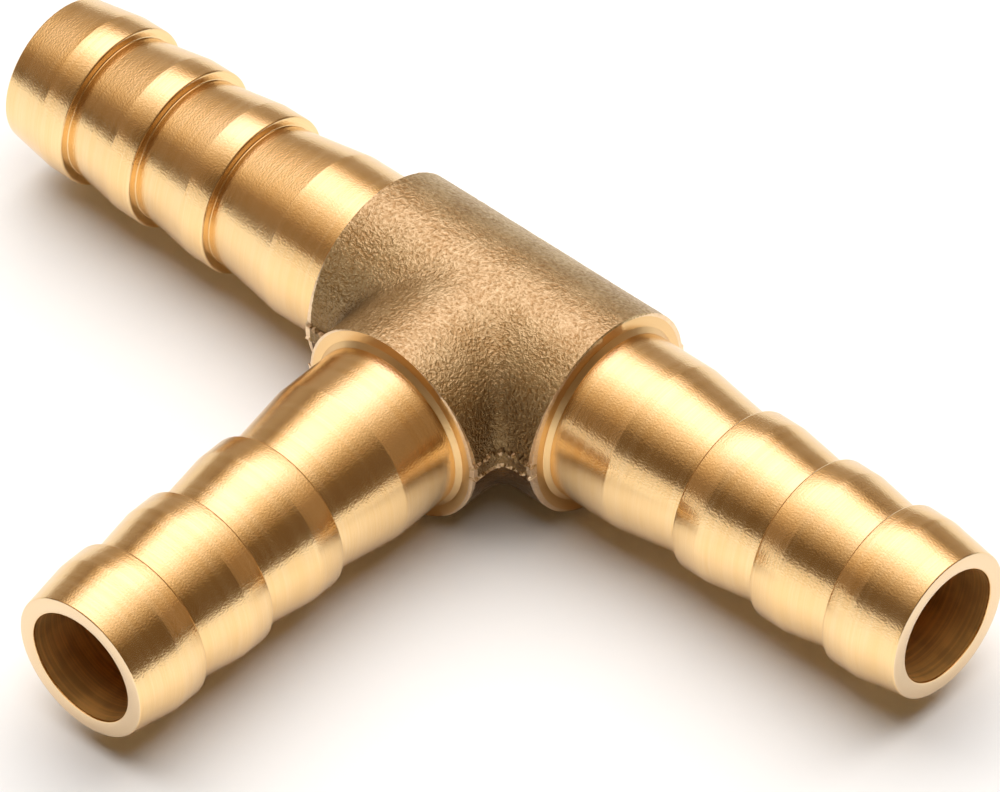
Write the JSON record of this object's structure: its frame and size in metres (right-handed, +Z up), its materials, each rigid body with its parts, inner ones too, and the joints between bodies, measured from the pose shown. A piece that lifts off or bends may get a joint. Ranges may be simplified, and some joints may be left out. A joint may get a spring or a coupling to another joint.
{
  "type": "barbed hose tee",
  "caption": "T-shaped brass hose fitting: a rough forged body with machined barbed hose arms on the run and the branch, drilled through so that they join hoses.",
  "frame": {"origin": "where the axes of the run's bore and the branch's bore cross", "axes": "+X along the run, -Y out along the branch, +Z up through the parting plane, so the tee lies flat"},
  "size_m": [0.0696, 0.0414, 0.013],
  "materials": {
    "brass": "matte sand-textured forged skin on the body, satin with fine turning lines on the barbed arms and shoulders"
  },
  "bodies": {
    "root": {"tee_body": "brass"}
  },
  "joints": []
}
